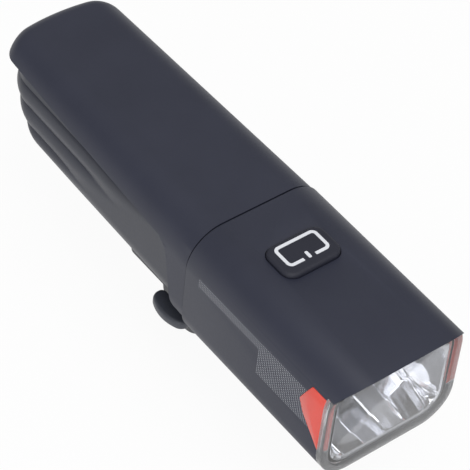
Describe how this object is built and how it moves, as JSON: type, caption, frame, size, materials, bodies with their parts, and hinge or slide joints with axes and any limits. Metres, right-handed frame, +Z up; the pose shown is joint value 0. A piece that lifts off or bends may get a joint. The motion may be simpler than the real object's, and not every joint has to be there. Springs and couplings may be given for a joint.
{
  "type": "bike headlight",
  "caption": "Long dark bicycle headlight with a hooded lens, red side windows, a rubber power button, a ribbed rear casing and a quick-release shoe on a two-finger hinge fork.",
  "frame": {"origin": "centre of the bolt hole through the hinge fork's two fingers", "axes": "+Z up, -Y the way the beam goes, +X along the bolt hole, to the right for someone who faces the lens"},
  "size_m": [0.035, 0.1243, 0.049],
  "materials": {
    "charcoal_casing": "fine matte texture",
    "dark_casing": "satin moulded",
    "black_plastic": "satin moulded",
    "ivory_plastic": "smooth moulded",
    "black_rubber": "soft matte",
    "clear_lens": "clear polished",
    "red_window": "translucent polished",
    "mirror_coating": "vacuum-metallised",
    "bare_aluminium": "extruded",
    "white_board": "white solder mask",
    "yellow_phosphor": "silicone dome",
    "green_board": "solder mask",
    "screw_steel": "plated",
    "cell_wrap": "shrink wrap",
    "red_insulation": "silicone",
    "black_insulation": "silicone"
  },
  "bodies": {
    "light": {"head_housing": "charcoal_casing", "front_lens": "clear_lens", "lens_gasket": "black_rubber", "reflector": "mirror_coating", "side_window_left": "red_window", "side_window_right": "red_window", "heat_spreader": "bare_aluminium", "led_board": "white_board", "led_emitters": "yellow_phosphor", "led_leads": "black_insulation", "tact_switch": "black_plastic", "control_board": "green_board", "board_parts": "black_plastic", "board_screws": "screw_steel", "head_screws": "screw_steel", "seam_gasket": "black_rubber", "rear_cover": "charcoal_casing", "lower_shell": "dark_casing", "shell_screws": "screw_steel", "battery_cell": "cell_wrap", "battery_cradle": "black_plastic", "battery_tabs": "screw_steel", "battery_leads": "red_insulation", "charge_leads": "black_insulation", "port_board": "green_board", "charge_port": "screw_steel", "port_tongue": "black_plastic", "mount_rail": "black_plastic", "rail_screws": "screw_steel", "mount_shoe": "black_plastic", "slide_spring": "screw_steel"},
    "button": {"button_cap": "black_rubber"},
    "plunger": {"switch_plunger": "ivory_plastic"},
    "port_flap": {"port_cover": "black_rubber"},
    "release": {"release_slide": "black_plastic"}
  },
  "joints": [
    {"name": "button_press", "type": "slide", "parent": "light", "child": "button", "axis": [0, 0, -1], "range_m": [0, 0.0008], "stiffness_N_per_m": 3000},
    {"name": "plunger_press", "type": "slide", "parent": "light", "child": "plunger", "axis": [0, 0, -1], "range_m": [0, 0.0009]},
    {"name": "port_cover_hinge", "type": "hinge", "parent": "light", "child": "port_flap", "pos_m": [0, 0.05785, 0.0261], "axis": [-1, 0, 0], "range_deg": [0, 100], "stiffness_Nm_per_rad": 0.0005},
    {"name": "release_press", "type": "slide", "parent": "light", "child": "release", "axis": [1, 0, 0], "range_m": [0, 0.0018], "stiffness_N_per_m": 1500, "deforming": ["slide_spring"]}
  ],
  "couplings": [
    {"joint": "plunger_press", "follows": "button_press", "ratio": 1}
  ]
}
